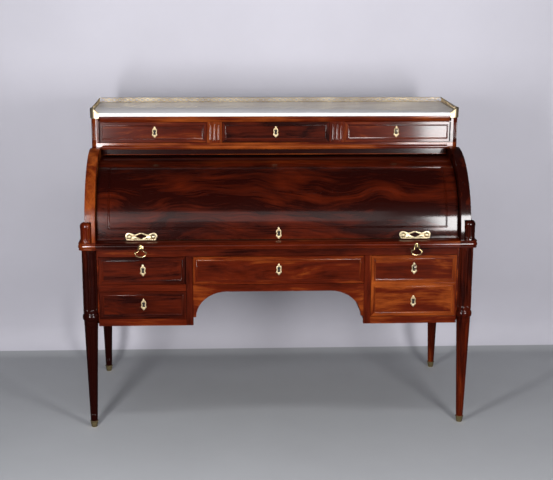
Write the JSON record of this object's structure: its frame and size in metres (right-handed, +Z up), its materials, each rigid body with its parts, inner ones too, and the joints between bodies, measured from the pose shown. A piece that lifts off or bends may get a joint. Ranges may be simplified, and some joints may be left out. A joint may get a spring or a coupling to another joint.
{
  "type": "roll top desk",
  "caption": "Desk with a quarter-round fall over a writing slide, drawers above and in the pedestals, marble top with a brass gallery, and turned legs.",
  "frame": {"origin": "on the floor, under the middle of the desk's bounding box", "axes": "+X to the right of someone facing the desk, +Y to the back, +Z up"},
  "size_m": [1.562, 0.7774, 1.249],
  "materials": {
    "mahogany": "french polished, glossy",
    "carcass_wood": "bare, matt",
    "gilt_brass": "polished",
    "marble": "polished, grey veined",
    "leather": "waxed",
    "key_steel": "worn"
  },
  "bodies": {
    "case": {"leg_front_left": "mahogany", "leg_front_right": "mahogany", "leg_rear_left": "mahogany", "leg_rear_right": "mahogany", "sabot_front_left": "gilt_brass", "sabot_front_right": "gilt_brass", "sabot_rear_left": "gilt_brass", "sabot_rear_right": "gilt_brass", "stub_column_front_left": "mahogany", "stub_column_front_right": "mahogany", "stub_column_rear_left": "mahogany", "stub_column_rear_right": "mahogany", "side_panel_left": "mahogany", "side_panel_right": "mahogany", "partition_left": "mahogany", "partition_right": "mahogany", "pedestal_bottom_left": "mahogany", "pedestal_bottom_right": "mahogany", "moulding_left": "mahogany", "moulding_right": "mahogany", "cheek_left": "mahogany", "cheek_right": "mahogany", "box_side_left": "mahogany", "box_side_right": "mahogany", "box_partition_left": "mahogany", "box_partition_right": "mahogany", "back_panel_lower": "mahogany", "centre_apron": "mahogany", "drawer_divider_left": "mahogany", "frieze_rail": "mahogany", "bed_board": "carcass_wood", "moulding_rear": "mahogany", "back_panel_upper": "mahogany", "pigeonhole_nest": "mahogany", "box_floor": "mahogany", "box_top": "mahogany", "marble_top": "marble", "gallery": "gilt_brass"},
    "fall": {"fall_shell": "mahogany", "fall_end_left": "carcass_wood", "fall_end_right": "carcass_wood", "fall_handle_plate_left": "gilt_brass", "fall_handle_plate_right": "gilt_brass"},
    "bail_left": {"fall_bail_left": "gilt_brass"},
    "bail_right": {"fall_bail_right": "gilt_brass"},
    "slide": {"writing_slide": "mahogany", "slide_leather": "leather", "pull_rosette_left": "gilt_brass", "pull_rosette_right": "gilt_brass"},
    "ring_left": {"pull_ring_left": "gilt_brass"},
    "ring_right": {"pull_ring_right": "gilt_brass"},
    "drawer_left_upper": {"drawer_left_upper": "mahogany"},
    "drawer_left_lower": {"drawer_left_lower": "mahogany"},
    "drawer_right_deep": {"drawer_right_deep": "mahogany"},
    "drawer_centre": {"drawer_centre": "mahogany"},
    "drawer_top_left": {"drawer_top_left": "mahogany"},
    "drawer_top_centre": {"drawer_top_centre": "mahogany"},
    "drawer_top_right": {"drawer_top_right": "mahogany"},
    "key_top": {"key_top_right": "key_steel"},
    "key_pedestal": {"key_right_pedestal": "key_steel"}
  },
  "joints": [
    {"name": "fall_hinge", "type": "hinge", "parent": "case", "child": "fall", "pos_m": [0, -0.04635, 0.775], "axis": [-1, 0, 0], "range_deg": [0, 78]},
    {"name": "bail_left_hinge", "type": "hinge", "parent": "fall", "child": "bail_left", "pos_m": [-0.538, -0.32965, 0.782], "axis": [-1, 0, 0], "range_deg": [0, 85]},
    {"name": "bail_right_hinge", "type": "hinge", "parent": "fall", "child": "bail_right", "pos_m": [0.538, -0.32965, 0.782], "axis": [-1, 0, 0], "range_deg": [0, 85]},
    {"name": "writing_slide_run", "type": "slide", "parent": "case", "child": "slide", "axis": [0, -1, 0], "range_m": [0, 0.26]},
    {"name": "ring_left_hinge", "type": "hinge", "parent": "slide", "child": "ring_left", "pos_m": [-0.538, -0.38315, 0.749], "axis": [-1, 0, 0], "range_deg": [0, 90]},
    {"name": "ring_right_hinge", "type": "hinge", "parent": "slide", "child": "ring_right", "pos_m": [0.538, -0.38315, 0.749], "axis": [-1, 0, 0], "range_deg": [0, 90]},
    {"name": "drawer_left_upper_run", "type": "slide", "parent": "case", "child": "drawer_left_upper", "axis": [0, -1, 0], "range_m": [0, 0.4]},
    {"name": "drawer_left_lower_run", "type": "slide", "parent": "case", "child": "drawer_left_lower", "axis": [0, -1, 0], "range_m": [0, 0.4]},
    {"name": "drawer_right_deep_run", "type": "slide", "parent": "case", "child": "drawer_right_deep", "axis": [0, -1, 0], "range_m": [0, 0.4]},
    {"name": "drawer_centre_run", "type": "slide", "parent": "case", "child": "drawer_centre", "axis": [0, -1, 0], "range_m": [0, 0.4]},
    {"name": "drawer_top_left_run", "type": "slide", "parent": "case", "child": "drawer_top_left", "axis": [0, -1, 0], "range_m": [0, 0.24]},
    {"name": "drawer_top_centre_run", "type": "slide", "parent": "case", "child": "drawer_top_centre", "axis": [0, -1, 0], "range_m": [0, 0.24]},
    {"name": "drawer_top_right_run", "type": "slide", "parent": "case", "child": "drawer_top_right", "axis": [0, -1, 0], "range_m": [0, 0.24]},
    {"name": "key_top_turn", "type": "hinge", "parent": "drawer_top_right", "child": "key_top", "pos_m": [0.495, -0.04335, 1.157], "axis": [0, 1, 0], "range_deg": [0, 90]},
    {"name": "key_pedestal_turn", "type": "hinge", "parent": "drawer_right_deep", "child": "key_pedestal", "pos_m": [0.53565, -0.34335, 0.66], "axis": [0, 1, 0], "range_deg": [0, 90]}
  ]
}
